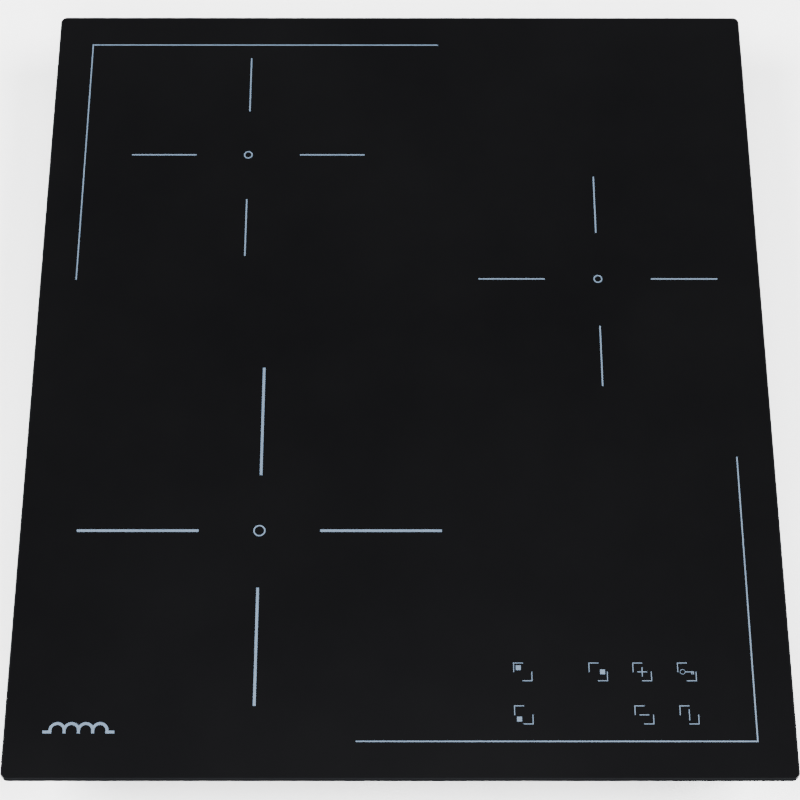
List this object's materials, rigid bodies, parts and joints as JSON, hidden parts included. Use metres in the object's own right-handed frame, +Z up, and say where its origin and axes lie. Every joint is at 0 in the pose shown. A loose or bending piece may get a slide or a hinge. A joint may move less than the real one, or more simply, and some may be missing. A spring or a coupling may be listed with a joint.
{
  "type": "induction hob",
  "caption": "Built-in three-zone induction hob: black glass plate with printed marks and touch keys over a steel casing with sprung coils, electronics and fan.",
  "frame": {"origin": "centre of the casing's underside", "axes": "+X to the user's right, +Y to the rear, +Z up"},
  "size_m": [0.45, 0.52, 0.058],
  "materials": {
    "black_glass": "polished black glass-ceramic",
    "print_enamel": "fused pale blue-grey enamel",
    "foam_seal": "closed-cell foam",
    "silicone": "cured silicone",
    "zinc_steel": "hot-dip zinc-coated sheet with a fine spangle",
    "frame_steel": "zinc-coated strip",
    "screw_steel": "bright zinc plating",
    "spring_steel": "rolled spring strip",
    "label_foil": "satin foil, left blank",
    "sheet_aluminium": "mill finish",
    "sink_aluminium": "extruded",
    "copper_litz": "enamelled copper litz",
    "former_plastic": "glass-filled, off-white",
    "ferrite": "sintered, dark grey",
    "mica": "pressed mica sheet",
    "sensor_cap": "moulded",
    "board_green": "lacquered board",
    "tray_plastic": "flame-retardant moulding",
    "device_black": "moulded package",
    "film_cap": "potted plastic case",
    "lytic_sleeve": "shrink sleeve",
    "choke_ferrite": "coated toroid",
    "copper_wire": "enamelled copper wire",
    "transformer_tape": "polyester tape",
    "relay_case": "sealed case",
    "fan_plastic": "moulded",
    "motor_steel": "pressed",
    "control_plastic": "moulded",
    "touch_wire": "tinned spring wire",
    "display_lens": "dark red lens, unlit",
    "terminal_plastic": "moulded, grey",
    "block_plastic": "moulded",
    "terminal_brass": "plated",
    "grommet_rubber": "moulded"
  },
  "bodies": {
    "casing": {"glass_plate": "black_glass", "print_zones": "print_enamel", "print_corner_lines": "print_enamel", "print_touch_keys": "print_enamel", "print_badge": "print_enamel", "worktop_seal": "foam_seal", "silicone_bead": "silicone", "glass_frame": "frame_steel", "base_tray": "zinc_steel", "casing_screws": "screw_steel", "clip_feet": "spring_steel", "rating_plate": "label_foil", "coil_plate": "sheet_aluminium", "plate_posts": "sink_aluminium", "power_board": "board_green", "supply_board": "board_green", "board_tray": "tray_plastic", "inner_screws": "screw_steel", "heat_sink": "sink_aluminium", "power_transistors": "device_black", "film_capacitors": "film_cap", "electrolytic_capacitors": "lytic_sleeve", "choke_core": "choke_ferrite", "choke_windings": "copper_wire", "supply_transformer": "transformer_tape", "relays": "relay_case", "fan_housing": "fan_plastic", "fan_motor": "motor_steel", "control_carrier": "control_plastic", "control_board": "board_green", "touch_springs": "touch_wire", "level_displays": "display_lens", "terminal_box": "terminal_plastic", "terminal_block": "block_plastic", "terminal_screws": "terminal_brass", "cable_grommet": "grommet_rubber"},
    "fan_rotor": {"fan_impeller": "fan_plastic"},
    "terminal_cover": {"terminal_cover": "terminal_plastic"},
    "clip_front_left": {"clip_leaf_front_left": "spring_steel"},
    "clip_front_right": {"clip_leaf_front_right": "spring_steel"},
    "clip_rear_left": {"clip_leaf_rear_left": "spring_steel"},
    "clip_rear_right": {"clip_leaf_rear_right": "spring_steel"},
    "coil_front_left": {"coil_winding_front_left": "copper_litz", "coil_former_front_left": "former_plastic", "coil_mica_front_left": "mica", "coil_ferrites_front_left": "ferrite", "coil_sensor_front_left": "sensor_cap", "coil_springs_front_left": "spring_steel"},
    "coil_rear_left": {"coil_winding_rear_left": "copper_litz", "coil_former_rear_left": "former_plastic", "coil_mica_rear_left": "mica", "coil_ferrites_rear_left": "ferrite", "coil_sensor_rear_left": "sensor_cap", "coil_springs_rear_left": "spring_steel"},
    "coil_right": {"coil_winding_right": "copper_litz", "coil_former_right": "former_plastic", "coil_mica_right": "mica", "coil_ferrites_right": "ferrite", "coil_sensor_right": "sensor_cap", "coil_springs_right": "spring_steel"}
  },
  "joints": [
    {"name": "fan_spin", "type": "hinge", "parent": "casing", "child": "fan_rotor", "pos_m": [-0.11, 0.12, 0.015], "axis": [0, 0, 1], "continuous": true},
    {"name": "cover_hinge", "type": "hinge", "parent": "casing", "child": "terminal_cover", "pos_m": [0.162, 0.243, 0.036], "axis": [1, 0, 0], "range_deg": [0, 100]},
    {"name": "clip_flex_front_left", "type": "hinge", "parent": "casing", "child": "clip_front_left", "pos_m": [-0.2126, -0.13, 0.02015], "axis": [0, 1, 0], "range_deg": [0, 11], "stiffness_Nm_per_rad": 3.9},
    {"name": "clip_flex_front_right", "type": "hinge", "parent": "casing", "child": "clip_front_right", "pos_m": [0.2126, -0.13, 0.02015], "axis": [0, -1, 0], "range_deg": [0, 11], "stiffness_Nm_per_rad": 3.9},
    {"name": "clip_flex_rear_left", "type": "hinge", "parent": "casing", "child": "clip_rear_left", "pos_m": [-0.2126, 0.13, 0.02015], "axis": [0, 1, 0], "range_deg": [0, 11], "stiffness_Nm_per_rad": 3.9},
    {"name": "clip_flex_rear_right", "type": "hinge", "parent": "casing", "child": "clip_rear_right", "pos_m": [0.2126, 0.13, 0.02015], "axis": [0, -1, 0], "range_deg": [0, 11], "stiffness_Nm_per_rad": 3.9},
    {"name": "coil_float_front_left", "type": "slide", "parent": "casing", "child": "coil_front_left", "axis": [0, 0, 1], "range_m": [-0.004, 0], "stiffness_N_per_m": 3000, "springref_m": 0.006, "deforming": ["coil_springs_front_left"]},
    {"name": "coil_float_rear_left", "type": "slide", "parent": "casing", "child": "coil_rear_left", "axis": [0, 0, 1], "range_m": [-0.004, 0], "stiffness_N_per_m": 2000, "springref_m": 0.006, "deforming": ["coil_springs_rear_left"]},
    {"name": "coil_float_right", "type": "slide", "parent": "casing", "child": "coil_right", "axis": [0, 0, 1], "range_m": [-0.004, 0], "stiffness_N_per_m": 2000, "springref_m": 0.006, "deforming": ["coil_springs_right"]}
  ]
}
